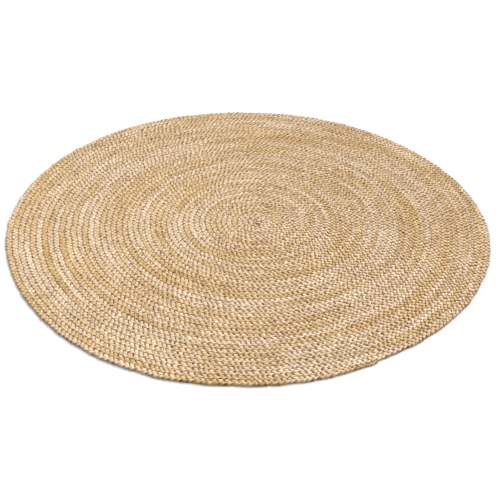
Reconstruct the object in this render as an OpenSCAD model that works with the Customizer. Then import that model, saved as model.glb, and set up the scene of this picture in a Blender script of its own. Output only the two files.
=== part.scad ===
// Round area rug: one flat three-strand jute plait, wound into a spiral from the
// middle and sewn turn to turn with a jute thread. It lies on z = 0 with the middle
// of its outline on the Z axis, and its plait ends in a tapered tail at the edge.
//
// The spiral is drawn with its tail on the +X side and then turned. It is made of
// half circles: those on its +Y side and those on its -Y side have centres a quarter
// of the pitch to either side of the spiral's own centre, so each half turn starts
// exactly where the last one ends and is half a pitch wider.

/* [Rug] */
// Diameter across the finished rug
rug_d = 1200; // [400:50:2400]
// Thickness of the plait, from the floor to its top
plait_t = 8; // [5:0.5:11]
// Width that the plait is worked to, before the turns are spaced to fill the rug
plait_w_target = 13.5; // [11:0.5:24]

/* [Joins] */
// Slack between two neighbouring turns
turn_gap = 0.2; // [0.1:0.1:0.8]
// Diameter of the thread that is laced between the turns
thread_d = 2; // [1:0.25:3]
// Clearance of the thread in the groove that it presses into the plait
thread_clear = 0.05; // [0.02:0.01:0.2]
// Equal lengths of thread that are used one after another, from the middle out
thread_count = 4; // [1:1:6]

/* [Ends] */
// Direction from the middle to where the tail starts, turning from +X towards +Y
tail_azimuth = -74; // [-75:1:-45]
// Least radius of the eye that stays open beside the start of the plait
least_eye_r = 0.5; // [0.5:0.5:3]
// Length of the tail that tapers in to the edge
tail_l = 120; // [60:10:180]
// Width that is left of the plait at the tip of the tail
tail_tip_w = 4; // [3:0.5:6]

/* [Hidden] */
// Whole turns that the plait makes round the eye
turn_count = round(rug_d / 2 / plait_w_target);
last_half = 2 * turn_count - 1;
// The pitch is a whole number of these steps, so that a quarter of it is a round
// number of hundredths and the half turns meet exactly
pitch_step = 0.04;
// Distance from one turn to the next
pitch = pitch_step * floor((rug_d / 2 - least_eye_r + turn_gap) / (turn_count + 0.5) / pitch_step);
plait_w = pitch - turn_gap;
// Distance of the two half-circle centres from the spiral's own centre
centre_step = pitch / 4;
// Radius of the middle line of the first half turn, which leaves the outermost one at
// the edge of the rug, and of the eye inside it
start_r = rug_d / 2 - plait_w / 2 - last_half * pitch / 2;
eye_r = start_r - plait_w / 2;

// A very large rug keeps to this many nodes by holding several turns in each
most_turn_nodes = 50;
turns_per_node = ceil(turn_count / most_turn_nodes);
turn_node_count = ceil(turn_count / turns_per_node);

// Radius of the curve that turns the tail in across the width of the turn inside it
tail_r = 1 / (1 / half_turn_r(last_half) + 2 * (pitch - tail_tip_w) / pow(tail_l, 2));
tail_angle = asin(tail_l / tail_r);
// Angle of the same length measured on the turn that the tail lies against
tail_bed_angle = asin(tail_l / half_turn_r(last_half - 1));

jute_pale = [0.86, 0.76, 0.61];
jute_golden = [0.80, 0.66, 0.47];
thread_colour = [0.74, 0.62, 0.45];

$fa = 3;
$fs = 0.8;

// Radius of the middle line of half turn j; even ones lie on the spiral's +Y side
function half_turn_r(j) = start_r + j * pitch / 2;

// Name of the n-th node of the spiral, counted from the middle
function turn_name(n) = str("plait_turn_", n < 10 ? "0" : "", n);

// Name of the n-th length of thread, counted from the middle
function thread_name(n) = str("lacing_thread_", n);

// First half turn that the n-th length of thread follows; a spiral's length grows
// with the square of its turns, so the square root makes the lengths equal
function thread_first_half(n) = round((last_half - 1) * sqrt((n - 1) / thread_count));

// Shade of the n-th node, which drifts as the fibre of the plait does
function turn_colour(n) =
    let (share = 0.5 + 0.5 * sin(137.5 * n))
    jute_pale * share + jute_golden * (1 - share);

// Turns the spiral, whose tail starts on its own +X side, and moves it so that the
// middle of the outline is on the Z axis. The outline's two half circles differ by
// half a pitch, so with the tail in the quarter between +X and -Y the middle of the
// outline's box is a quarter of the pitch from the spiral's centre both ways.
module place_rug() {
    translate([centre_step, centre_step, 0]) rotate([0, 0, tail_azimuth]) children();
}

// Places a shape drawn on the +Y side round the origin on half turn j of the spiral
module on_half_turn(j) {
    if (j % 2 == 0) {
        translate([-centre_step, 0, 0]) children();
    } else {
        translate([centre_step, 0, 0]) rotate([0, 0, 180]) children();
    }
}

// Cross-section of the plait: flat above and below, round at both edges
module plait_section() {
    translate([-(plait_w - plait_t) / 2, 0]) square([plait_w - plait_t, plait_t]);
    for (side = [-1, 1]) {
        translate([side * (plait_w - plait_t) / 2, plait_t / 2]) circle(d = plait_t);
    }
}

// Half of a round disc's section, with the same round edge as the plait
module disc_section(r) {
    square([r - plait_t / 2, plait_t]);
    intersection() {
        translate([r - plait_t / 2, plait_t / 2]) circle(d = plait_t);
        square([r, plait_t]);
    }
}

// Round section of the thread, wider by clear all round, where it lies outside radius r
module thread_section(r, clear = 0) {
    translate([r + pitch / 2, plait_t / 2]) circle(d = thread_d + 2 * clear);
}

// Thread laced outside half turn j, over the given angle
module thread_run(j, angle = 180, clear = 0) {
    on_half_turn(j) rotate_extrude(angle = angle) thread_section(half_turn_r(j), clear);
}

// Plait of half turn j, grooved where thread joins it to the turns inside and outside
module half_turn(j) {
    r = half_turn_r(j);
    on_half_turn(j) rotate_extrude(angle = 180) difference() {
        translate([r, 0]) plait_section();
        if (j >= 2) thread_section(r - pitch, thread_clear);
        if (j <= last_half - 2) thread_section(r, thread_clear);
    }
}

// One node of the spiral: a whole turn of plait, or a few on a very large rug
module plait_turn(n) {
    first = 2 * turns_per_node * (n - 1);
    last = min(first + 2 * turns_per_node - 1, last_half);
    color(turn_colour(n)) place_rug() difference() {
        union() {
            for (j = [first:last]) half_turn(j);
        }
        if (last == last_half) tail_thread(thread_clear);
    }
}

// Stretch of thread that lies between the tail and the turn that the tail ends on
module tail_thread(clear = 0) {
    thread_run(last_half - 1, tail_bed_angle, clear);
}

// Start of the plait, folded into the half round that the first turn leaves
module centre_start() {
    color(jute_golden) place_rug() on_half_turn(1)
        rotate_extrude(angle = 180) disc_section(eye_r + pitch / 2 - turn_gap);
}

// End of the plait, curving in until only its tip stands out from the last turn; what the
// cut along its bed leaves is so slim that its curves need more segments than the rest
module tail_end() {
    $fn = 180;
    start_x = centre_step + half_turn_r(last_half);
    color(jute_pale) place_rug() difference() {
        translate([start_x - tail_r, 0, 0])
            rotate_extrude(angle = tail_angle) translate([tail_r, 0]) plait_section();
        on_half_turn(last_half - 1)
            rotate_extrude() disc_section(half_turn_r(last_half - 1) + plait_w / 2);
        tail_thread(thread_clear);
    }
}

// Length n of the thread that sews each turn to the one inside it; the last length
// goes on to the tip of the tail
module lacing_thread(n) {
    color(thread_colour) place_rug() {
        for (j = [thread_first_half(n):thread_first_half(n + 1) - 1]) thread_run(j);
        if (n == thread_count) tail_thread();
    }
}

for (n = [1:turn_node_count]) {
    plait_turn(n);
}
for (n = [1:thread_count]) {
    lacing_thread(n);
}
centre_start();
tail_end();
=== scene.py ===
"""Round jute rug: a flat three-strand plait wound in a spiral and laced turn to turn.

Everything is in metres, in the frame of the CAD part. The plait, its thread and its loose
fibres are made by Geometry Nodes trees that follow the spiral; each turn is then a plain mesh.
"""

import math

import bpy
from mathutils import Euler, Matrix, Vector


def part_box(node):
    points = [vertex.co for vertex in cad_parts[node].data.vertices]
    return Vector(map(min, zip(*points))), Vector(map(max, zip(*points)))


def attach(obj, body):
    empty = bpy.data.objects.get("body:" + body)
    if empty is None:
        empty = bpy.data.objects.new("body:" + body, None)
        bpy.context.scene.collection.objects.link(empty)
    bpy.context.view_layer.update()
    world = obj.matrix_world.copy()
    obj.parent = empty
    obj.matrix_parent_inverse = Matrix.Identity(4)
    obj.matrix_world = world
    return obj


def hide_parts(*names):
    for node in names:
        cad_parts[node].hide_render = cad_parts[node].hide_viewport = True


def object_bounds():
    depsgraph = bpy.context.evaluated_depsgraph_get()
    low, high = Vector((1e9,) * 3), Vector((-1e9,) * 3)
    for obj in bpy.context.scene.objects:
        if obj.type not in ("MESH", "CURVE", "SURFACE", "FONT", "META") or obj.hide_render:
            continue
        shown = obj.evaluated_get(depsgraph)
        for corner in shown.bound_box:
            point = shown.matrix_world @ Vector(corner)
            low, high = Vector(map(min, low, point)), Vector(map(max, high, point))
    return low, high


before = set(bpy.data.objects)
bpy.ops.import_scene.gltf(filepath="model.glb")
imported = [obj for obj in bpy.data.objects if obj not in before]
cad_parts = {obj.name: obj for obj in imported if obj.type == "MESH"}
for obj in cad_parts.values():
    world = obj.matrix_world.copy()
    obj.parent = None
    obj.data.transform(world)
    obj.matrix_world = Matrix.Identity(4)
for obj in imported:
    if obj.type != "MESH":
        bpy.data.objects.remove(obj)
CAD_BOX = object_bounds()

MM = 0.001
FULL_TURN = 2 * math.pi
MATH = "ShaderNodeMath"
VECTOR_MATH = "ShaderNodeVectorMath"


# ---------------------------------------------------------------- sizes from the frame

def numbered_nodes(prefix):
    """Names of the CAD nodes that start with prefix, in order."""
    return sorted(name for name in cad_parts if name.startswith(prefix))


def node_width(name):
    """Width of a CAD node along X."""
    low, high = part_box(name)
    return high[0] - low[0]


TURN_NODES = numbered_nodes("plait_turn_")
THREAD_NODES = numbered_nodes("lacing_thread_")
TURN_COUNT = len(TURN_NODES)
RUG_RADIUS = (CAD_BOX[1][1] - CAD_BOX[0][1]) / 2
PLAIT_THICKNESS = CAD_BOX[1][2] - CAD_BOX[0][2]

# Each turn of the spiral is wider than the one inside it by two pitches
PITCH = (node_width(TURN_NODES[-1]) - node_width(TURN_NODES[0])) / 2 / (TURN_COUNT - 1)

# The spiral starts in the middle and turns from +X towards +Y; angles along it are counted
# from the direction in which the tail starts
TAIL_AZIMUTH = math.radians(-74)
END_ANGLE = TURN_COUNT * FULL_TURN
END_RADIUS = RUG_RADIUS - PITCH / 4
START_RADIUS = END_RADIUS - TURN_COUNT * PITCH

# The first length of plait is folded up in the eye, and the tail runs on along the edge
START_ANGLE = -0.85 * math.pi
TAIL_LENGTH = 120 * MM
TIP_ANGLE = END_ANGLE + TAIL_LENGTH / END_RADIUS


# ---------------------------------------------------------------- node trees

def add(tree, kind, inputs=(), **settings):
    """Adds a node with its settings. Inputs are values, sockets or nodes, in order or by name."""
    node = tree.nodes.new(kind)
    for name, value in settings.items():
        setattr(node, name, value)
    pairs = inputs.items() if isinstance(inputs, dict) else enumerate(inputs)
    for key, value in pairs:
        if isinstance(value, bpy.types.Node):
            value = value.outputs[0]
        if isinstance(value, bpy.types.NodeSocket):
            tree.links.new(value, node.inputs[key])
        elif value is not None:
            node.inputs[key].default_value = value
    return node


def new_tree(name, inputs, outputs):
    """An empty Geometry Nodes tree with named inputs and outputs; returns it with its two ends."""
    tree = bpy.data.node_groups.new(name, "GeometryNodeTree")
    for label, (kind, value) in inputs.items():
        socket = tree.interface.new_socket(label, in_out="INPUT", socket_type=kind)
        if value is not None:
            socket.default_value = value
    for label, kind in outputs.items():
        tree.interface.new_socket(label, in_out="OUTPUT", socket_type=kind)
    return tree, tree.nodes.new("NodeGroupInput").outputs, tree.nodes.new("NodeGroupOutput").inputs


STORE = "GeometryNodeStoreNamedAttribute"
ON_POINTS = {"data_type": "FLOAT_VECTOR", "domain": "POINT"}
ON_CORNERS = {"data_type": "FLOAT2", "domain": "CORNER"}
FLOAT = "NodeSocketFloat"
INTEGER = "NodeSocketInt"
GEOMETRY = "NodeSocketGeometry"

# Points closer than this become one, where the edges of a grid meet
WELD_DISTANCE = 0.001 * MM

SPIRAL_SIZES = {
    "First Angle": (FLOAT, 0.0),
    "Last Angle": (FLOAT, FULL_TURN),
    "Start Radius": (FLOAT, START_RADIUS),
    "Pitch": (FLOAT, PITCH),
    "Start Azimuth": (FLOAT, TAIL_AZIMUTH),
    "Ring Step": (FLOAT, 2.8 * MM),
    "Sides": (INTEGER, 8),
}


def arc_length_tree():
    """Length of the spiral from its start to an angle."""
    tree, given, out = new_tree(
        "Spiral Length",
        {"Angle": (FLOAT, 0.0), "Start Radius": (FLOAT, START_RADIUS), "Pitch": (FLOAT, PITCH)},
        {"Length": FLOAT},
    )
    growth = add(tree, MATH, (given["Pitch"], 1 / (2 * FULL_TURN)), operation="MULTIPLY")
    mean_radius = add(tree, MATH, (given["Angle"], growth, given["Start Radius"]), operation="MULTIPLY_ADD")
    length = add(tree, MATH, (mean_radius, given["Angle"]), operation="MULTIPLY")
    tree.links.new(length.outputs[0], out["Length"])
    return tree


ARC_LENGTH = arc_length_tree()


def tube_on_spiral(tree, given):
    """Adds a grid that is to become a closed tube along the spiral, with what its points need.

    The grid runs along the tube in X and round it in Y. Its first and last rows are drawn
    together into points, which closes the ends.
    """
    spiral = {"Start Radius": given["Start Radius"], "Pitch": given["Pitch"]}
    first = add(tree, "GeometryNodeGroup", node_tree=ARC_LENGTH)
    last = add(tree, "GeometryNodeGroup", node_tree=ARC_LENGTH)
    here = add(tree, "GeometryNodeGroup", node_tree=ARC_LENGTH)
    for node, angle in ((first, given["First Angle"]), (last, given["Last Angle"]), (here, None)):
        for label, socket in spiral.items():
            tree.links.new(socket, node.inputs[label])
        if angle is not None:
            tree.links.new(angle, node.inputs["Angle"])
    span = add(tree, MATH, (last, first), operation="SUBTRACT")
    steps_wanted = add(tree, MATH, (span, given["Ring Step"]), operation="DIVIDE")
    steps = add(tree, MATH, (steps_wanted,), operation="CEIL")
    rings = add(tree, MATH, (steps, 3.0), operation="ADD")
    around = add(tree, MATH, (given["Sides"], 1.0), operation="ADD")
    grid_size = {"Size X": 1.0, "Size Y": 1.0, "Vertices X": rings, "Vertices Y": around}
    grid = add(tree, "GeometryNodeMeshGrid", grid_size)
    place = add(tree, "ShaderNodeSeparateXYZ", (add(tree, "GeometryNodeInputPosition"),))

    along = add(tree, MATH, (place.outputs["X"], 0.5), operation="ADD")
    intervals = add(tree, MATH, (rings, 1.0), operation="SUBTRACT")
    ring = add(tree, MATH, (along, intervals, -1.0), operation="MULTIPLY_ADD")
    angle = add(tree, "ShaderNodeMapRange", (ring, 0.0, steps, given["First Angle"], given["Last Angle"]))
    tree.links.new(angle.outputs[0], here.inputs["Angle"])

    half_ring = add(tree, MATH, (0.5, intervals), operation="DIVIDE")
    open_part = add(tree, MATH, (0.5, half_ring), operation="SUBTRACT")
    off_middle = add(tree, MATH, (place.outputs["X"],), operation="ABSOLUTE")
    is_open = add(tree, MATH, (off_middle, open_part), operation="LESS_THAN")

    radius_growth = add(tree, MATH, (given["Pitch"], 1 / FULL_TURN), operation="MULTIPLY")
    radius = add(tree, MATH, (angle, radius_growth, given["Start Radius"]), operation="MULTIPLY_ADD")
    share_around = add(tree, MATH, (place.outputs["Y"], 0.5), operation="ADD")
    section_angle = add(tree, MATH, (share_around, -FULL_TURN), operation="MULTIPLY")
    return {
        "mesh": grid.outputs["Mesh"],
        "span": span,
        "angle": angle,
        "length": here,
        "radius": radius,
        "open": is_open,
        "along": along,
        "share_around": share_around,
        "section_angle": section_angle,
    }


# Share of a strip's width and length that its map leaves free at each edge
SIDE_MARGIN = 0.05
END_MARGIN = 0.01


def store_strips(tree, tube, mesh, number, tubes_in_piece, width):
    """Stores a map that lays the tubes of a piece side by side in the unit square, as strips."""
    area_share = tubes_in_piece * width
    strips_wanted = add(tree, MATH, (tube["span"], 1 / area_share), operation="MULTIPLY")
    strips_root = add(tree, MATH, (strips_wanted,), operation="SQRT")
    strips = add(tree, MATH, (strips_root,), operation="CEIL")
    run = add(tree, MATH, (tube["along"], strips), operation="MULTIPLY")
    face_run = add(tree, "GeometryNodeFieldOnDomain", (run,), data_type="FLOAT", domain="FACE")
    strip = add(tree, MATH, (face_run,), operation="FLOOR")
    side_room = (tube["share_around"], 1 - 2 * SIDE_MARGIN, SIDE_MARGIN)
    across_strip = add(tree, MATH, side_room, operation="MULTIPLY_ADD")
    along_strip = add(tree, MATH, (run, strip), operation="SUBTRACT")
    u = add(tree, MATH, (along_strip, 1 - 2 * END_MARGIN, END_MARGIN), operation="MULTIPLY_ADD")
    first_strip = add(tree, MATH, (strips, number, strip), operation="MULTIPLY_ADD")
    row = add(tree, MATH, (first_strip, across_strip), operation="ADD")
    rows = add(tree, MATH, (strips, float(tubes_in_piece)), operation="MULTIPLY")
    v = add(tree, MATH, (row, rows), operation="DIVIDE")
    place = add(tree, "ShaderNodeCombineXYZ", (u, v, 0.0))
    return add(tree, STORE, {"Geometry": mesh, "Name": "OFBake", "Value": place}, **ON_CORNERS)


def wind_and_close(tree, given, tube, mesh, radius, height):
    """Puts the grid's points at their radius and height on the spiral and joins its edges."""
    azimuth = add(tree, MATH, (tube["angle"], given["Start Azimuth"]), operation="ADD")
    cosine = add(tree, MATH, (azimuth,), operation="COSINE")
    sine = add(tree, MATH, (azimuth,), operation="SINE")
    x = add(tree, MATH, (cosine, radius), operation="MULTIPLY")
    y = add(tree, MATH, (sine, radius), operation="MULTIPLY")
    place = add(tree, "ShaderNodeCombineXYZ", (x, y, height))
    # The faces that close the ends stay flat
    wall = add(tree, "GeometryNodeFieldOnDomain", (tube["open"],), data_type="FLOAT", domain="FACE")
    is_wall = add(tree, MATH, (wall, 0.75), operation="GREATER_THAN")
    flat = add(tree, "GeometryNodeSetShadeSmooth", {"Geometry": mesh, "Shade Smooth": False})
    wall_smooth = {"Geometry": flat, "Selection": is_wall, "Shade Smooth": True}
    smooth = add(tree, "GeometryNodeSetShadeSmooth", wall_smooth)
    wound = add(tree, "GeometryNodeSetPosition", {"Geometry": smooth, "Position": place})
    return add(tree, "GeometryNodeMergeByDistance", {"Geometry": wound, "Distance": WELD_DISTANCE})


# ---------------------------------------------------------------- the plait

# A strand is a flat bundle of fibre. It swings from edge to edge of the plait, rises over
# the strand beside it on its way in to the middle and dives under on its way out again. At
# the edge it is bunched up.
STRANDS = 3
STRAND_THICKNESS = 4.7 * MM
STRAND_WIDTH = 10.8 * MM
EDGE_WIDTH_SHARE = 0.9
EDGE_THICKNESS_SHARE = 1.15
STRAND_GIRTH = 2.3 * STRAND_WIDTH
STRAND_SWING = 1.2 * (PITCH - STRAND_THICKNESS) / 2
STRAND_RISE = (PLAIT_THICKNESS - STRAND_THICKNESS) / 2
PLAIT_PERIOD = 38.3 * MM
STRAND_ROLL = math.radians(-130)

# Uneven hand work. The whole plait drifts slowly: to the side, down, and in how far its
# strands have slipped along it, in radians of the swing. Each knuckle also has its own size
# and its own place. A span is the part of the noise, which lies about 0.5, that a range uses.
SLOW_SPACING = 70 * MM
SLOW_SWAY = 0.6 * MM
SLOW_SINK = 0.5 * MM
SLOW_SLIP = 1.0
QUICK_SPACING = 13 * MM
QUICK_SWAY = 0.9 * MM
QUICK_SINK = 1.1 * MM
KNUCKLE_SIZES = (0.76, 1.22)
NOISE_SPAN = (0.25, 0.75)
SINK_SPAN = (0.3, 0.7)
EDGE_SPAN = (0.35, 0.65)

# Rows of the noise this far apart have nothing to do with each other
NOISE_ROW_STEP = 9.7

# For the painted shade, the part of a strand that lies most open comes a little after its
# highest point, by this many radians of its rise and fall
OPEN_LAG = 0.7

# Where strands are laid out straight for their pattern, they are this far apart
STRAND_SPACING = 50 * MM

# Where two turns press on each other, a strand reaches this many times half the pitch
PRESSED_REACH = 1.07

PLAIT_SIZES = {
    "Plait Thickness": (FLOAT, PLAIT_THICKNESS),
    "Plait Period": (FLOAT, PLAIT_PERIOD),
    "Strand Width": (FLOAT, STRAND_WIDTH),
    "Strand Thickness": (FLOAT, STRAND_THICKNESS),
    "Swing": (FLOAT, STRAND_SWING),
    "Rise": (FLOAT, STRAND_RISE),
    "Roll": (FLOAT, STRAND_ROLL),
    "Edge Width Share": (FLOAT, EDGE_WIDTH_SHARE),
    "Edge Thickness Share": (FLOAT, EDGE_THICKNESS_SHARE),
    "Edge Height Share": (FLOAT, 0.5),
    "Tail Angle": (FLOAT, END_ANGLE),
    "Tip Angle": (FLOAT, TIP_ANGLE),
    "Start Share": (FLOAT, 0.85),
    "Tip Share": (FLOAT, 0.35),
    "Seed": (FLOAT, 3.0),
}


def strand_tree():
    """One strand of the plait between two angles of the spiral."""
    tree, given, out = new_tree(
        "Plait Strand",
        {**SPIRAL_SIZES, **PLAIT_SIZES, "Strand Number": (FLOAT, 0.0)},
        {"Mesh": GEOMETRY},
    )
    tube = tube_on_spiral(tree, given)

    # How far the plait has thinned: in the fold at the start, and along the tail
    start_range = (tube["angle"], START_ANGLE, 0.5 * math.pi, given["Start Share"], 1.0)
    start_share = add(tree, "ShaderNodeMapRange", start_range)
    tail_range = (tube["angle"], given["Tail Angle"], given["Tip Angle"], 1.0, given["Tip Share"])
    tail_share = add(tree, "ShaderNodeMapRange", tail_range)
    share = add(tree, MATH, (start_share, tail_share), operation="MULTIPLY")

    # Uneven hand work: a slow drift of the whole plait, and each knuckle of a strand differs
    slow_place = add(tree, MATH, (tube["length"], 1 / SLOW_SPACING), operation="MULTIPLY")
    slow_point = add(tree, "ShaderNodeCombineXYZ", (slow_place, given["Seed"], 0.0))
    slow = add(tree, "ShaderNodeTexNoise", {"Vector": slow_point, "Scale": 1.0, "Detail": 1.0})
    slow_parts = add(tree, "ShaderNodeSeparateXYZ", (slow.outputs["Color"],))
    quick_place = add(tree, MATH, (tube["length"], 1 / QUICK_SPACING), operation="MULTIPLY")
    row_place = (given["Strand Number"], NOISE_ROW_STEP, given["Seed"])
    strand_row = add(tree, MATH, row_place, operation="MULTIPLY_ADD")
    quick_point = add(tree, "ShaderNodeCombineXYZ", (quick_place, strand_row, 5.0))
    quick = add(tree, "ShaderNodeTexNoise", {"Vector": quick_point, "Scale": 1.0, "Detail": 1.0})
    quick_parts = add(tree, "ShaderNodeSeparateXYZ", (quick.outputs["Color"],))
    size_now = add(tree, "ShaderNodeMapRange", (quick_parts.outputs["X"], *NOISE_SPAN, *KNUCKLE_SIZES))
    size = add(tree, MATH, (size_now, share), operation="MULTIPLY")
    slow_sway_range = (slow_parts.outputs["Y"], *NOISE_SPAN, -SLOW_SWAY, SLOW_SWAY)
    sway_slow = add(tree, "ShaderNodeMapRange", slow_sway_range)
    quick_sway_range = (quick_parts.outputs["Y"], *NOISE_SPAN, -QUICK_SWAY, QUICK_SWAY)
    sway_quick = add(tree, "ShaderNodeMapRange", quick_sway_range)
    sway = add(tree, MATH, (sway_slow, sway_quick), operation="ADD")
    sink_slow = add(tree, "ShaderNodeMapRange", (slow_parts.outputs["Z"], *NOISE_SPAN, -SLOW_SINK, 0.0))
    sink_quick = add(tree, "ShaderNodeMapRange", (quick_parts.outputs["Z"], *SINK_SPAN, -QUICK_SINK, 0.0))
    sink = add(tree, MATH, (sink_slow, sink_quick), operation="ADD")
    slip = add(tree, "ShaderNodeMapRange", (slow_parts.outputs["X"], *NOISE_SPAN, -SLOW_SLIP, SLOW_SLIP))

    # Middle line of the strand, seen along the plait: a figure of eight on its side
    rate = add(tree, MATH, (FULL_TURN, given["Plait Period"]), operation="DIVIDE")
    step = add(tree, MATH, (given["Strand Number"], FULL_TURN / STRANDS, slip), operation="MULTIPLY_ADD")
    phase = add(tree, MATH, (tube["length"], rate, step), operation="MULTIPLY_ADD")
    phase_sine = add(tree, MATH, (phase,), operation="SINE")
    swing_now = add(tree, MATH, (phase_sine, given["Swing"]), operation="MULTIPLY")
    double_phase = add(tree, MATH, (phase, -2.0), operation="MULTIPLY")
    level = add(tree, MATH, (double_phase,), operation="SINE")
    rise_now = add(tree, MATH, (level, given["Rise"]), operation="MULTIPLY")
    swing = add(tree, MATH, (swing_now, share, sway), operation="MULTIPLY_ADD")
    middle_height = add(tree, MATH, (given["Plait Thickness"], 0.5, sink), operation="MULTIPLY_ADD")
    height = add(tree, MATH, (rise_now, share, middle_height), operation="MULTIPLY_ADD")

    # Flat section of the strand, rolled so that its face lies on the outside of the plait
    phase_cosine = add(tree, MATH, (phase,), operation="COSINE")
    roll = add(tree, MATH, (phase_cosine, given["Roll"]), operation="MULTIPLY")
    roll_cosine = add(tree, MATH, (roll,), operation="COSINE")
    roll_sine = add(tree, MATH, (roll,), operation="SINE")
    half_size = add(tree, MATH, (size, 0.5), operation="MULTIPLY")
    closing = add(tree, MATH, (half_size, tube["open"]), operation="MULTIPLY")
    across_cosine = add(tree, MATH, (tube["section_angle"],), operation="COSINE")
    across_sine = add(tree, MATH, (tube["section_angle"],), operation="SINE")
    cosine_squared = add(tree, MATH, (phase_cosine, phase_cosine), operation="MULTIPLY")
    width_share = add(tree, "ShaderNodeMapRange", (cosine_squared, 0.0, 1.0, given["Edge Width Share"], 1.0))
    width_now = add(tree, MATH, (width_share, given["Strand Width"]), operation="MULTIPLY")
    half_width = add(tree, MATH, (closing, width_now), operation="MULTIPLY")
    bulk_range = (cosine_squared, 0.0, 1.0, given["Edge Thickness Share"], 1.0)
    bulk_share = add(tree, "ShaderNodeMapRange", bulk_range)
    thickness_now = add(tree, MATH, (bulk_share, given["Strand Thickness"]), operation="MULTIPLY")
    half_thickness = add(tree, MATH, (closing, thickness_now), operation="MULTIPLY")
    across = add(tree, MATH, (half_width, across_cosine), operation="MULTIPLY")
    through = add(tree, MATH, (half_thickness, across_sine), operation="MULTIPLY")
    out_by_across = add(tree, MATH, (across, roll_sine), operation="MULTIPLY")
    out_by_through = add(tree, MATH, (through, roll_cosine, swing), operation="MULTIPLY_ADD")
    loose_sideways = add(tree, MATH, (out_by_through, out_by_across), operation="SUBTRACT")
    up_by_across = add(tree, MATH, (across, roll_cosine, height), operation="MULTIPLY_ADD")
    loose_up = add(tree, MATH, (through, roll_sine, up_by_across), operation="MULTIPLY_ADD")

    # The turns press on each other: the plait is hardly wider than its pitch, and it is
    # rounded there, in some places more than in others
    half_room = add(tree, MATH, (given["Pitch"], 0.5), operation="MULTIPLY")
    most = add(tree, MATH, (half_room, PRESSED_REACH), operation="MULTIPLY")
    least = add(tree, MATH, (most, -1.0), operation="MULTIPLY")
    inner_limit = add(tree, MATH, (loose_sideways, most), operation="MINIMUM")
    sideways = add(tree, MATH, (inner_limit, least), operation="MAXIMUM")
    off_middle = add(tree, MATH, (sideways, half_room), operation="DIVIDE")
    off_squared = add(tree, MATH, (off_middle, off_middle), operation="MULTIPLY")
    off_fourth = add(tree, MATH, (off_squared, off_squared), operation="MULTIPLY")
    edge_range = (slow_parts.outputs["Z"], *EDGE_SPAN, given["Edge Height Share"], 1.0)
    edge_height = add(tree, "ShaderNodeMapRange", edge_range)
    fall = add(tree, "ShaderNodeMapRange", (off_fourth, 0.0, 1.0, 1.0, edge_height))
    mid_height = add(tree, MATH, (given["Plait Thickness"], 0.5), operation="MULTIPLY")
    from_mid = add(tree, MATH, (loose_up, mid_height), operation="SUBTRACT")
    up = add(tree, MATH, (from_mid, fall, mid_height), operation="MULTIPLY_ADD")
    up_on_floor = add(tree, MATH, (up, 0.1 * MM), operation="MAXIMUM")

    # The tail lies against the turn inside it as it thins
    lost_share = add(tree, MATH, (1.0, tail_share), operation="SUBTRACT")
    half_pitch = add(tree, MATH, (given["Pitch"], -0.5), operation="MULTIPLY")
    tail_in = add(tree, MATH, (lost_share, half_pitch, tube["radius"]), operation="MULTIPLY_ADD")
    radius_now = add(tree, MATH, (tail_in, sideways), operation="ADD")
    radius = add(tree, MATH, (radius_now, 0.3 * MM), operation="MAXIMUM")

    # Place on the strand as if it were pulled out straight, with room between strands
    offset_place = (given["Strand Number"], STRAND_SPACING, across)
    strand_offset = add(tree, MATH, offset_place, operation="MULTIPLY_ADD")
    straight = add(tree, "ShaderNodeCombineXYZ", (tube["length"], strand_offset, through))
    place_stored = {"Geometry": tube["mesh"], "Name": "on_strand", "Value": straight}
    mesh = add(tree, STORE, place_stored, **ON_POINTS)

    # How openly each point lies, which sets the plait's painted shade and dust: the mean of its
    # height in the plait and of a wave along the strand, both from 0 deep down to 1 on top
    point_relief = add(tree, MATH, (up_on_floor, given["Plait Thickness"]), operation="DIVIDE")
    late_phase = add(tree, MATH, (double_phase, OPEN_LAG), operation="ADD")
    late_level = add(tree, MATH, (late_phase,), operation="SINE")
    strand_relief = add(tree, MATH, (late_level, 0.5, 0.5), operation="MULTIPLY_ADD")
    both_reliefs = add(tree, MATH, (point_relief, strand_relief), operation="ADD")
    relief = add(tree, MATH, (both_reliefs, 0.5), operation="MULTIPLY")
    relief_stored = {"Geometry": mesh, "Name": "relief", "Value": relief}
    mesh = add(tree, STORE, relief_stored, data_type="FLOAT", domain="POINT")
    mesh = store_strips(tree, tube, mesh, given["Strand Number"], STRANDS, STRAND_GIRTH)
    closed = wind_and_close(tree, given, tube, mesh, radius, up_on_floor)
    tree.links.new(closed.outputs[0], out["Mesh"])
    return tree


# How the hand-wound spiral strays from a true one: the coil's middle is off the outline's
# middle, and the outline swells and flattens in a few slow waves (waves round the rug,
# height of the wave, direction of its first crest)
MIDDLE_SHIFT = Vector((20 * MM, -4 * MM, 0))
OUTLINE_WAVES = (
    (2, 3.0 * MM, math.radians(-20)),
    (3, 3.4 * MM, math.radians(5)),
    (4, 2.2 * MM, math.radians(-20)),
    (6, 1.4 * MM, math.radians(-115)),
)
WANDER_SPACING = 38 * MM
WANDER_REACH = 8 * MM


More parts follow.
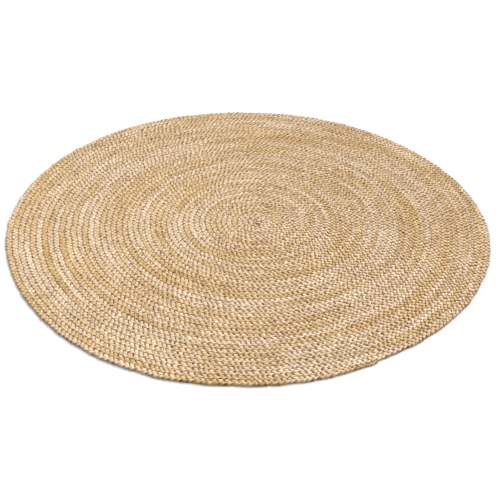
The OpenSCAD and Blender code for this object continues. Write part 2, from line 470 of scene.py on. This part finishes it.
def drift_tree():
    """Moves points of a perfectly wound rug to where the hand-wound one has them."""
    tree, given, out = new_tree(
        "Hand Winding",
        {"Mesh": (GEOMETRY, None), "Rug Radius": (FLOAT, RUG_RADIUS)},
        {"Mesh": GEOMETRY},
    )
    position = add(tree, "GeometryNodeInputPosition")
    parts = add(tree, "ShaderNodeSeparateXYZ", (position,))
    flat = add(tree, VECTOR_MATH, (position, (1.0, 1.0, 0.0)), operation="MULTIPLY")
    distance = add(tree, VECTOR_MATH, (flat,), operation="LENGTH").outputs["Value"]
    share = add(tree, MATH, (distance, given["Rug Radius"]), operation="DIVIDE")
    share_squared = add(tree, MATH, (share, share), operation="MULTIPLY")
    azimuth = add(tree, MATH, (parts.outputs["Y"], parts.outputs["X"]), operation="ARCTAN2")
    swell = None
    for waves, wave_height, crest in OUTLINE_WAVES:
        turn = add(tree, MATH, (azimuth, float(waves), -waves * crest), operation="MULTIPLY_ADD")
        crest_here = add(tree, MATH, (turn,), operation="COSINE")
        swell = add(tree, MATH, (crest_here, wave_height, swell or 0.0), operation="MULTIPLY_ADD")
    swell_share = add(tree, MATH, (swell, share_squared), operation="MULTIPLY")
    stretch = add(tree, MATH, (swell_share, given["Rug Radius"]), operation="DIVIDE")
    swollen = add(tree, VECTOR_MATH, {0: flat, "Scale": stretch}, operation="SCALE")
    inner_share = add(tree, MATH, (1.0, share_squared), operation="SUBTRACT", use_clamp=True)
    shifted = add(tree, VECTOR_MATH, {0: tuple(MIDDLE_SHIFT), "Scale": inner_share}, operation="SCALE")
    pulled = add(tree, VECTOR_MATH, (swollen, shifted), operation="ADD")

    # Over a few stitches the turns push each other to and fro
    wander_place = add(tree, VECTOR_MATH, {0: flat, "Scale": 1 / WANDER_SPACING}, operation="SCALE")
    wander_noise = add(tree, "ShaderNodeTexNoise", {"Vector": wander_place, "Scale": 1.0, "Detail": 1.5})
    wander = add(tree, VECTOR_MATH, (wander_noise.outputs["Color"], (0.5, 0.5, 0.5)), operation="SUBTRACT")
    reach = add(tree, VECTOR_MATH, (wander, (WANDER_REACH, WANDER_REACH, 0.0)), operation="MULTIPLY")
    offset = add(tree, VECTOR_MATH, (pulled, reach), operation="ADD")
    moved = add(tree, "GeometryNodeSetPosition", {"Geometry": given["Mesh"], "Offset": offset})
    tree.links.new(moved.outputs[0], out["Mesh"])
    return tree


def end_piece(tree, given, out, mesh, drift):
    """Ends the tree of a piece with the stray of hand winding and the piece's material."""
    wound = add(tree, "GeometryNodeGroup", {"Mesh": mesh}, node_tree=drift)
    plain = add(tree, "GeometryNodeRealizeInstances", (wound,))
    finished = add(tree, "GeometryNodeSetMaterial", {"Geometry": plain, "Material": given["Material"]})
    tree.links.new(finished.outputs[0], out["Mesh"])
    return tree


def plait_tree(strand, drift):
    """A length of plait: its strands, the stray of hand winding, and its material."""
    tree, given, out = new_tree(
        "Plait",
        {**SPIRAL_SIZES, **PLAIT_SIZES, "Material": ("NodeSocketMaterial", None)},
        {"Mesh": GEOMETRY},
    )
    joined = add(tree, "GeometryNodeJoinGeometry")
    for number in range(STRANDS):
        one = add(tree, "GeometryNodeGroup", node_tree=strand)
        one.inputs["Strand Number"].default_value = float(number)
        for label in (*SPIRAL_SIZES, *PLAIT_SIZES):
            tree.links.new(given[label], one.inputs[label])
        tree.links.new(one.outputs["Mesh"], joined.inputs[0])
    return end_piece(tree, given, out, joined, drift)


# ---------------------------------------------------------------- lacing thread and loose fibres

# The thread runs in the furrow between two turns, dipping through a knuckle of one and then
# of the other
THREAD_DIAMETER = 2.0 * MM
STITCH_LENGTH = PLAIT_PERIOD / STRANDS

THREAD_SIZES = {
    "Plait Thickness": (FLOAT, PLAIT_THICKNESS),
    "Thread Diameter": (FLOAT, THREAD_DIAMETER),
    "Stitch Length": (FLOAT, STITCH_LENGTH),
    "Sideways Reach": (FLOAT, 1.2 * MM),
    "Dip": (FLOAT, 1.1 * MM),
    "Height Share": (FLOAT, 0.6),
}


def thread_tree(drift):
    """A length of lacing thread in the furrow outside the turns between two angles."""
    tree, given, out = new_tree(
        "Lacing Thread",
        {**SPIRAL_SIZES, **THREAD_SIZES, "Material": ("NodeSocketMaterial", None)},
        {"Mesh": GEOMETRY},
    )
    tube = tube_on_spiral(tree, given)
    rate = add(tree, MATH, (FULL_TURN, given["Stitch Length"]), operation="DIVIDE")
    phase = add(tree, MATH, (tube["length"], rate), operation="MULTIPLY")
    half_phase = add(tree, MATH, (phase, 0.5), operation="MULTIPLY")
    reach = add(tree, MATH, (half_phase,), operation="SINE")
    rise = add(tree, MATH, (phase,), operation="COSINE")
    closing = add(tree, MATH, (tube["open"], 0.5), operation="MULTIPLY")
    thickness = add(tree, MATH, (closing, given["Thread Diameter"]), operation="MULTIPLY")
    across_cosine = add(tree, MATH, (tube["section_angle"],), operation="COSINE")
    across_sine = add(tree, MATH, (tube["section_angle"],), operation="SINE")
    across = add(tree, MATH, (thickness, across_cosine), operation="MULTIPLY")
    through = add(tree, MATH, (thickness, across_sine), operation="MULTIPLY")
    furrow = add(tree, MATH, (given["Pitch"], 0.5, tube["radius"]), operation="MULTIPLY_ADD")
    middle = add(tree, MATH, (reach, given["Sideways Reach"], furrow), operation="MULTIPLY_ADD")
    radius = add(tree, MATH, (middle, through), operation="ADD")
    thread_middle = (given["Plait Thickness"], given["Height Share"], across)
    mid_height = add(tree, MATH, thread_middle, operation="MULTIPLY_ADD")
    height = add(tree, MATH, (rise, given["Dip"], mid_height), operation="MULTIPLY_ADD")
    straight = add(tree, "ShaderNodeCombineXYZ", (tube["length"], across, through))
    place_stored = {"Geometry": tube["mesh"], "Name": "on_strand", "Value": straight}
    mesh = add(tree, STORE, place_stored, **ON_POINTS)
    mesh = store_strips(tree, tube, mesh, 0.0, 1, math.pi * THREAD_DIAMETER)
    closed = wind_and_close(tree, given, tube, mesh, radius, height)
    return end_piece(tree, given, out, closed, drift)


# A fibre that has worked loose lies in a low arc over the plait, with its ends a little way
# down in it. Real ones are a tenth of a millimetre thick; these are tufts of a few, drawn
# coarse enough to show.
FIBRE_COUNT = 3600
FIBRE_RINGS = 7
FIBRE_SIDES = 3
CELL_MARGIN = 0.1

FIBRE_SIZES = {
    "Count": (INTEGER, FIBRE_COUNT),
    "Fibre Width": (FLOAT, 0.34 * MM),
    "Shortest": (FLOAT, 8 * MM),
    "Longest": (FLOAT, 34 * MM),
    "Height": (FLOAT, PLAIT_THICKNESS),
    "Depth": (FLOAT, 0.7 * MM),
    "Start Radius": (FLOAT, START_RADIUS),
    "Pitch": (FLOAT, PITCH),
    "Start Azimuth": (FLOAT, TAIL_AZIMUTH),
    "Last Angle": (FLOAT, END_ANGLE),
    "Seed": (INTEGER, 11),
}

# Least and most of what differs from fibre to fibre: place across the plait, lean off the
# plait's line and bend in radians, rise of its arc, and place in the pattern of shades
FIBRE_SPREADS = {
    "offset": (-5 * MM, 5 * MM),
    "lean": (-0.9, 0.9),
    "bend": (-1.2, 1.2),
    "lift": (0.5 * MM, 2.2 * MM),
    "shade_row": (0.0, 5.0),
}


def random_for(tree, item, seed, low, high, salt):
    """A random number for each item; each salt gives numbers of its own."""
    numbers = add(tree, MATH, (seed, float(salt)), operation="ADD")
    # The sockets for plain numbers are told from the others only by their places
    sockets = {2: low, 3: high, "ID": item, "Seed": numbers}
    return add(tree, "FunctionNodeRandomValue", sockets, data_type="FLOAT").outputs[1]


def fibre_tree(drift):
    """Loose fibres strewn evenly over the rug, each along the plait that it comes from."""
    tree, given, out = new_tree(
        "Loose Fibres",
        {**FIBRE_SIZES, "Material": ("NodeSocketMaterial", None)},
        {"Mesh": GEOMETRY},
    )
    rings = add(tree, MATH, (given["Count"], float(FIBRE_RINGS)), operation="MULTIPLY")
    grid_size = {"Size X": 1.0, "Size Y": 1.0, "Vertices X": rings, "Vertices Y": FIBRE_SIDES + 1}
    grid = add(tree, "GeometryNodeMeshGrid", grid_size)
    place = add(tree, "ShaderNodeSeparateXYZ", (add(tree, "GeometryNodeInputPosition"),))
    last_ring = add(tree, MATH, (rings, 1.0), operation="SUBTRACT")
    along_all = add(tree, MATH, (place.outputs["X"], 0.5), operation="ADD")
    ring_place = add(tree, MATH, (along_all, last_ring, 0.25), operation="MULTIPLY_ADD")
    ring = add(tree, MATH, (ring_place,), operation="FLOOR")
    fibre_place = add(tree, MATH, (ring, float(FIBRE_RINGS)), operation="DIVIDE")
    fibre = add(tree, MATH, (fibre_place,), operation="FLOOR")
    ring_in_fibre = add(tree, MATH, (fibre, -float(FIBRE_RINGS), ring), operation="MULTIPLY_ADD")
    share = add(tree, MATH, (ring_in_fibre, float(FIBRE_RINGS - 1)), operation="DIVIDE")

    length = random_for(tree, fibre, given["Seed"], given["Shortest"], given["Longest"], 1)
    # The square root spreads the fibres evenly, because a turn is longer the further out it is
    evenly = random_for(tree, fibre, given["Seed"], 0.0, 1.0, 2)
    spread = add(tree, MATH, (evenly,), operation="SQRT")
    first_angle = add(tree, MATH, (spread, given["Last Angle"]), operation="MULTIPLY")
    growth = add(tree, MATH, (given["Pitch"], 1 / FULL_TURN), operation="MULTIPLY")
    turn_radius = add(tree, MATH, (first_angle, growth, given["Start Radius"]), operation="MULTIPLY_ADD")
    offset, lean, bend, lift, shade_row = (
        random_for(tree, fibre, given["Seed"], low, high, salt)
        for salt, (low, high) in enumerate(FIBRE_SPREADS.values(), start=3)
    )

    from_middle = add(tree, MATH, (share, 0.5), operation="SUBTRACT")
    run = add(tree, MATH, (from_middle, length), operation="MULTIPLY")
    bent = add(tree, MATH, (from_middle, bend, lean), operation="MULTIPLY_ADD")
    bent_sine = add(tree, MATH, (bent,), operation="SINE")
    bent_cosine = add(tree, MATH, (bent,), operation="COSINE")
    run_sideways = add(tree, MATH, (run, bent_sine), operation="MULTIPLY")
    run_along = add(tree, MATH, (run, bent_cosine), operation="MULTIPLY")
    share_angle = add(tree, MATH, (share, math.pi), operation="MULTIPLY")
    arch = add(tree, MATH, (share_angle,), operation="SINE")
    fibre_base = add(tree, MATH, (given["Height"], given["Depth"]), operation="SUBTRACT")
    fibre_height = add(tree, MATH, (arch, lift, fibre_base), operation="MULTIPLY_ADD")

    section_angle = add(tree, MATH, (place.outputs["Y"], -FULL_TURN), operation="MULTIPLY")
    width_now = add(tree, MATH, (arch, given["Fibre Width"]), operation="MULTIPLY")
    half_width = add(tree, MATH, (width_now, 0.5), operation="MULTIPLY")
    section_cosine = add(tree, MATH, (section_angle,), operation="COSINE")
    section_sine = add(tree, MATH, (section_angle,), operation="SINE")
    out_sideways = add(tree, MATH, (half_width, section_cosine), operation="MULTIPLY")
    out_up = add(tree, MATH, (half_width, section_sine), operation="MULTIPLY")
    middle_sideways = add(tree, MATH, (offset, run_sideways), operation="ADD")
    sideways = add(tree, MATH, (middle_sideways, out_sideways), operation="ADD")
    radius = add(tree, MATH, (turn_radius, sideways), operation="ADD")
    turned = add(tree, MATH, (run_along, turn_radius), operation="DIVIDE")
    angle = add(tree, MATH, (first_angle, turned), operation="ADD")
    azimuth = add(tree, MATH, (angle, given["Start Azimuth"]), operation="ADD")
    azimuth_cosine = add(tree, MATH, (azimuth,), operation="COSINE")
    azimuth_sine = add(tree, MATH, (azimuth,), operation="SINE")
    x = add(tree, MATH, (radius, azimuth_cosine), operation="MULTIPLY")
    y = add(tree, MATH, (radius, azimuth_sine), operation="MULTIPLY")
    height = add(tree, MATH, (fibre_height, out_up), operation="ADD")
    point = add(tree, "ShaderNodeCombineXYZ", (x, y, height))

    # Each fibre has its own cell in the piece's map
    columns = math.ceil(math.sqrt(FIBRE_COUNT))
    row_place = add(tree, MATH, (fibre, float(columns)), operation="DIVIDE")
    row = add(tree, MATH, (row_place,), operation="FLOOR")
    column = add(tree, MATH, (row, -float(columns), fibre), operation="MULTIPLY_ADD")
    cell_room = 1 - 2 * CELL_MARGIN
    in_cell_u = add(tree, MATH, (share, cell_room, CELL_MARGIN), operation="MULTIPLY_ADD")
    in_cell_v = add(tree, MATH, (place.outputs["Y"], cell_room, 0.5), operation="MULTIPLY_ADD")
    column_place = add(tree, MATH, (column, in_cell_u), operation="ADD")
    cell_row_place = add(tree, MATH, (row, in_cell_v), operation="ADD")
    u = add(tree, MATH, (column_place, float(columns)), operation="DIVIDE")
    v = add(tree, MATH, (cell_row_place, float(columns)), operation="DIVIDE")
    cell = add(tree, "ShaderNodeCombineXYZ", (u, v, 0.0))
    straight = add(tree, "ShaderNodeCombineXYZ", (run, shade_row, 0.0))
    place_stored = {"Geometry": grid, "Name": "on_strand", "Value": straight}
    mesh = add(tree, STORE, place_stored, **ON_POINTS)
    mesh = add(tree, STORE, {"Geometry": mesh, "Name": "OFBake", "Value": cell}, **ON_CORNERS)

    # The faces that would join one fibre to the next are left out
    shared = add(tree, "GeometryNodeFieldOnDomain", (fibre,), data_type="FLOAT", domain="FACE")
    part = add(tree, MATH, (shared,), operation="FRACT")
    off_half = add(tree, MATH, (part, 0.5), operation="SUBTRACT")
    off_whole = add(tree, MATH, (off_half,), operation="ABSOLUTE")
    between = add(tree, MATH, (off_whole, 0.4), operation="LESS_THAN")
    laid = add(tree, "GeometryNodeSetPosition", {"Geometry": mesh, "Position": point})
    apart = add(tree, "GeometryNodeDeleteGeometry", {"Geometry": laid, "Selection": between}, domain="FACE")
    closed = add(tree, "GeometryNodeMergeByDistance", {"Geometry": apart, "Distance": WELD_DISTANCE})
    smooth = add(tree, "GeometryNodeSetShadeSmooth", {"Geometry": closed, "Shade Smooth": True})
    return end_piece(tree, given, out, smooth, drift)


def made_by(tree, name, **values):
    """A plain mesh object that the tree makes with these inputs."""
    maker = bpy.data.objects.new(name, bpy.data.meshes.new(name))
    bpy.context.collection.objects.link(maker)
    nodes = maker.modifiers.new("Maker", "NODES")
    nodes.node_group = tree
    sockets = {item.name: item.identifier for item in tree.interface.items_tree if item.in_out == "INPUT"}
    for label, value in values.items():
        nodes[sockets[label.replace("_", " ")]] = value
    graph = bpy.context.evaluated_depsgraph_get()
    made = bpy.data.meshes.new_from_object(
        maker.evaluated_get(graph), preserve_all_data_layers=True, depsgraph=graph
    )
    made.name = name
    maker.modifiers.remove(nodes)
    maker.data = made
    return maker


# ---------------------------------------------------------------- materials

def linear(hex_colour):
    """A linear colour from an sRGB one such as #c8a878."""
    shares = [int(hex_colour[i:i + 2], 16) / 255 for i in (1, 3, 5)]
    return tuple(s / 12.92 if s <= 0.04045 else ((s + 0.055) / 1.055) ** 2.4 for s in shares) + (1.0,)


# Jute is mostly cellulose and bends light as cotton does
JUTE_IOR = 1.53
TWINE_LAY = 3.5 * MM
TWINE_PLIES = 2.0

# Shades of undyed jute, from bark to the palest fibre: most of it is a pale, slightly pink
# cream, and some bundles are golden
PALE_JUTE = ("#6c5230", "#a58a65", "#ceb698", "#dfccb4", "#edddc8", "#f8ead6")
GOLDEN_JUTE = ("#65481c", "#937242", "#be9e6d", "#d3b689", "#e2caa2", "#f2dbb8")


def shade_ramp(tree, shade, colours):
    """A colour ramp with its colours spread evenly."""
    ramp = add(tree, "ShaderNodeValToRGB", (shade,))
    stops = ramp.color_ramp.elements
    while len(stops) < len(colours):
        stops.new(0.5)
    for number, colour in enumerate(colours):
        stops[number].position = number / (len(colours) - 1)
        stops[number].color = linear(colour)
    return ramp.outputs["Color"]


# The mixer's sockets for a share and two colours are told from its others by their places
MIX = "ShaderNodeMix"
MIX_SHARE = 0
MIX_FIRST = 6
MIX_SECOND = 7
MIX_RESULT = 2


def new_material(name):
    """A material with an empty tree; returns both, and each point's place on its strand."""
    material = bpy.data.materials.new(name)
    material.use_nodes = True
    tree = material.node_tree
    tree.nodes.clear()
    place = add(tree, "ShaderNodeAttribute", attribute_name="on_strand").outputs["Vector"]
    return material, tree, place


def strand_noise(tree, place, spacing, detail=2.0, roughness=0.5):
    """Noise on the pulled-out strand, with its spacing along, across and through it.

    A spacing of 0 means that the noise doesn't change that way.
    """
    scale = tuple(1 / step if step else 0.0 for step in spacing)
    point = add(tree, VECTOR_MATH, (place, scale), operation="MULTIPLY")
    settings = {"Vector": point, "Scale": 1.0, "Detail": detail, "Roughness": roughness}
    return add(tree, "ShaderNodeTexNoise", settings).outputs["Fac"]


def jute_plait_material():
    """Retted jute fibre, combed and plaited undyed: matt, faintly silky, streaked along the fibre."""
    material, tree, place = new_material("retted_jute_plait")
    # How openly the fibre lies sets the painted shade and dust below
    relief = add(tree, "ShaderNodeAttribute", attribute_name="relief").outputs["Fac"]

    # Fibres 0.1 mm thick show as streaks about 0.5 mm wide and a few centimetres long
    streaks = strand_noise(tree, place, (22 * MM, 0.5 * MM, 0.5 * MM), 3.0, 0.6)
    # A batch of fibre keeps its shade for some decimetres of plait, and each bundle spliced
    # into a strand for about one; within a bundle the shade changes from knuckle to knuckle
    batches = strand_noise(tree, place, (0.35, 0.0, 0.0), 3.0, 0.6)
    splices = strand_noise(tree, place, (0.13, 0.07, 0.0), 2.0, 0.6)
    knuckles = strand_noise(tree, place, (8 * MM, 12 * MM, 12 * MM), 2.0, 0.6)
    hues = strand_noise(tree, place, (0.40, 0.25, 0.0), 3.0, 0.6)

    shade = add(tree, MATH, (batches, 0.65, -0.93), operation="MULTIPLY_ADD")
    shade = add(tree, MATH, (splices, 0.55, shade), operation="MULTIPLY_ADD")
    shade = add(tree, MATH, (knuckles, 0.7, shade), operation="MULTIPLY_ADD")
    shade = add(tree, MATH, (streaks, 1.0, shade), operation="MULTIPLY_ADD")
    golden = add(tree, "ShaderNodeMapRange", (hues, 0.42, 0.59, 0.0, 1.0))
    pale = shade_ramp(tree, shade, PALE_JUTE)
    gold = shade_ramp(tree, shade, GOLDEN_JUTE)
    fibre = add(tree, MIX, {MIX_SHARE: golden, MIX_FIRST: pale, MIX_SECOND: gold}, data_type="RGBA")

    # Flecks of bark are slivers about a centimetre long and 2 mm wide
    bark = strand_noise(tree, place, (12 * MM, 2.5 * MM, 2.5 * MM), 2.0, 0.6)
    bark_here = add(tree, "ShaderNodeMapRange", (bark, 0.61, 0.67, 0.0, 0.9))
    with_bark = {
        MIX_SHARE: bark_here,
        MIX_FIRST: fibre.outputs[MIX_RESULT],
        MIX_SECOND: linear("#4a2c0a"),
    }
    flecked = add(tree, MIX, with_bark, data_type="RGBA")

    # Fibre that lies deep in the plait is painted darker and browner, as painted shade and dust, in some
    # places much more
    dust_and_shade_noise = strand_noise(tree, place, (30 * MM, 30 * MM, 30 * MM), 2.0)
    least_free_of_shade_and_dust = add(tree, "ShaderNodeMapRange", (dust_and_shade_noise, 0.35, 0.60, 0.0, 0.6))
    free_of_shade_and_dust = add(tree, "ShaderNodeMapRange", (relief, 0.40, 0.86, least_free_of_shade_and_dust, 1.0))
    # The brown tint is painted shade and dust, strongest where the fibre lies deepest
    shade_and_dust_mix = {MIX_SHARE: free_of_shade_and_dust, MIX_FIRST: linear("#8a5c1c"), MIX_SECOND: linear("#ffffff")}
    shade_and_dust_tint = add(tree, MIX, shade_and_dust_mix, data_type="RGBA")
    with_shade_and_dust = {
        MIX_SHARE: 1.0,
        MIX_FIRST: flecked.outputs[MIX_RESULT],
        MIX_SECOND: shade_and_dust_tint.outputs[MIX_RESULT],
    }
    toned = add(tree, MIX, with_shade_and_dust, data_type="RGBA", blend_type="MULTIPLY")

    bump = add(tree, "ShaderNodeBump", {"Height": streaks, "Distance": 0.35 * MM, "Strength": 0.8})
    surface = {
        "Base Color": toned.outputs[MIX_RESULT],
        "Roughness": 0.8,
        "IOR": JUTE_IOR,
        "Specular IOR Level": 0.06,
        "Sheen Weight": 0.2,
        "Sheen Roughness": 0.45,
        "Sheen Tint": linear("#e6b878"),
        "Normal": bump,
    }
    shader = add(tree, "ShaderNodeBsdfPrincipled", surface)
    add(tree, "ShaderNodeOutputMaterial", {"Surface": shader})
    return material


def jute_thread_material():
    """Jute twine of two plies, twisted and unpolished: darker and duller than the combed fibre."""
    material, tree, place = new_material("twisted_jute_twine")
    parts = add(tree, "ShaderNodeSeparateXYZ", (place,))
    shades = strand_noise(tree, place, (15 * MM, 1 * MM, 1 * MM), 3.0, 0.6)
    colour = shade_ramp(tree, shades, ("#6b4a1c", "#8d6833", "#ae884c", "#c6a469", "#d5b983"))

    # The plies wind round the twine once in its lay
    around = add(tree, MATH, (parts.outputs["Z"], parts.outputs["Y"]), operation="ARCTAN2")
    lay = (parts.outputs["X"], FULL_TURN / TWINE_LAY, around)
    wind = add(tree, MATH, lay, operation="MULTIPLY_ADD")
    ply_phase = add(tree, MATH, (wind, TWINE_PLIES), operation="MULTIPLY")
    plies = add(tree, MATH, (ply_phase,), operation="SINE")
    # The grooves between the plies are painted darker: painted shade
    groove_painted_shade = add(tree, "ShaderNodeMapRange", (plies, -1.0, 0.0, 0.45, 1.0))
    with_groove_painted_shade = {MIX_SHARE: 1.0, MIX_FIRST: colour, MIX_SECOND: groove_painted_shade}
    toned = add(tree, MIX, with_groove_painted_shade, data_type="RGBA", blend_type="MULTIPLY")
    bump = add(tree, "ShaderNodeBump", {"Height": plies, "Distance": 0.2 * MM, "Strength": 0.8})
    surface = {
        "Base Color": toned.outputs[MIX_RESULT],
        "Roughness": 0.85,
        "IOR": JUTE_IOR,
        "Specular IOR Level": 0.06,
        "Normal": bump,
    }
    shader = add(tree, "ShaderNodeBsdfPrincipled", surface)
    add(tree, "ShaderNodeOutputMaterial", {"Surface": shader})
    return material


def loose_fibre_material():
    """Single jute fibres, combed and unspun: paler and shinier than in the plait."""
    material, tree, place = new_material("combed_jute_fibre")
    shades = strand_noise(tree, place, (20 * MM, 1.0, 0.0), 1.0)
    colour = shade_ramp(tree, shades, ("#8d6d43", "#c3a274", "#e0c69f", "#f2dfc0"))
    surface = {"Base Color": colour, "Roughness": 0.75, "IOR": JUTE_IOR, "Specular IOR Level": 0.15}
    shader = add(tree, "ShaderNodeBsdfPrincipled", surface)
    add(tree, "ShaderNodeOutputMaterial", {"Surface": shader})
    return material


def studio_material(name, colour):
    """A plain matt surface for the floor."""
    material = bpy.data.materials.new(name)
    material.use_nodes = True
    shader = material.node_tree.nodes["Principled BSDF"]
    shader.inputs["Base Color"].default_value = linear(colour)
    shader.inputs["Roughness"].default_value = 0.9
    shader.inputs["Specular IOR Level"].default_value = 0.2
    return material


# ---------------------------------------------------------------- making the rug

def stands_for(piece, slot_name, *nodes):
    """The piece rides on the rug and replaces the CAD nodes; the slot's name is not used."""
    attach(piece, "root")
    if nodes:
        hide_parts(*nodes)


def make_plait(drift):
    """One piece for each turn, and the start and the tail."""
    tree = plait_tree(strand_tree(), drift)
    jute = jute_plait_material()
    lengths = [(START_ANGLE, 0.0, "centre_start")]
    for index, node in enumerate(TURN_NODES):
        lengths.append((index * FULL_TURN, (index + 1) * FULL_TURN, node))
    lengths.append((END_ANGLE, TIP_ANGLE, "tail_end"))
    for first, last, node in lengths:
        piece = made_by(tree, "jute_" + node, First_Angle=first, Last_Angle=last, Material=jute)
        stands_for(piece, "jute_plait", node)


def make_threads(drift):
    """The lacing thread, in the lengths that it came in; each starts where the last one ran out."""
    tree = thread_tree(drift)
    twine = jute_thread_material()
    half_turns = 2 * TURN_COUNT - 2
    count = len(THREAD_NODES)
    starts = [math.pi * round(half_turns * math.sqrt(number / count)) for number in range(count)]
    ends = starts[1:] + [TIP_ANGLE - FULL_TURN]
    settings = {"Ring_Step": 3.2 * MM, "Sides": 5, "Material": twine}
    for node, first, last in zip(THREAD_NODES, starts, ends):
        piece = made_by(tree, "stitches_" + node, First_Angle=first, Last_Angle=last, **settings)
        stands_for(piece, "jute_thread", node)


def make_loose_fibres(drift):
    """The fibres that have worked loose, as one piece."""
    piece = made_by(fibre_tree(drift), "loose_fibres", Material=loose_fibre_material())
    stands_for(piece, "jute_plait")


hand_winding = drift_tree()
make_plait(hand_winding)
make_threads(hand_winding)
make_loose_fibres(hand_winding)


# ---------------------------------------------------------------- studio

def make_floor():
    """A pale floor that reaches past every view."""
    mesh = bpy.data.meshes.new("floor")
    reach = 30.0
    corners = [(-reach, -reach, 0), (reach, -reach, 0), (reach, reach, 0), (-reach, reach, 0)]
    mesh.from_pydata(corners, [], [(0, 1, 2, 3)])
    floor = bpy.data.objects.new("floor", mesh)
    bpy.context.collection.objects.link(floor)
    mesh.materials.append(studio_material("matt_white_floor", "#d4d4d4"))


LAMP_STRENGTH = 2.4
LAMP_SPREAD = math.radians(25)
LAMP_DIRECTION = Euler((math.radians(-30), math.radians(25), 0))


def make_lights():
    """White room light from all round, and a large soft lamp above, behind and to the right."""
    world = bpy.data.worlds.new("studio")
    bpy.context.scene.world = world
    world.use_nodes = True
    background = world.node_tree.nodes["Background"]
    background.inputs["Color"].default_value = (1.0, 1.0, 1.0, 1.0)
    background.inputs["Strength"].default_value = 1.0
    lamp_data = bpy.data.lights.new("soft_lamp", "SUN")
    lamp_data.energy = LAMP_STRENGTH
    lamp_data.angle = LAMP_SPREAD
    lamp = bpy.data.objects.new("soft_lamp", lamp_data)
    lamp.rotation_euler = LAMP_DIRECTION
    bpy.context.collection.objects.link(lamp)


# The camera stands in front, a little over two metres away, and looks at the rug's middle.
# Then it is turned a little to its side, down and about its own line of sight. Sensor width
# and focal length are in millimetres.
CAMERA_ELEVATION = math.radians(33.51)
CAMERA_DISTANCE = 4.019 * RUG_RADIUS
CAMERA_SENSOR = 36.0
CAMERA_LENS = 68.67
CAMERA_TURN = math.radians(-0.12)
CAMERA_TILT = math.radians(-1.68)
CAMERA_ROLL = math.radians(0.61)


def make_camera():
    """A short telephoto lens from the front and above."""
    data = bpy.data.cameras.new("camera")
    data.sensor_width = CAMERA_SENSOR
    data.lens = CAMERA_LENS
    camera = bpy.data.objects.new("camera", data)
    aim = Matrix.Rotation(math.pi / 2 - CAMERA_ELEVATION, 4, "X")
    aim @= Matrix.Rotation(CAMERA_TURN, 4, "Y")
    aim @= Matrix.Rotation(CAMERA_TILT, 4, "X")
    aim @= Matrix.Rotation(CAMERA_ROLL, 4, "Z")
    direction = Vector((0, -math.cos(CAMERA_ELEVATION), math.sin(CAMERA_ELEVATION)))
    place = direction * CAMERA_DISTANCE
    camera.matrix_world = Matrix.Translation(place) @ aim
    bpy.context.collection.objects.link(camera)
    bpy.context.scene.camera = camera


make_floor()
make_lights()
make_camera()
bpy.context.scene.view_settings.view_transform = "Standard"
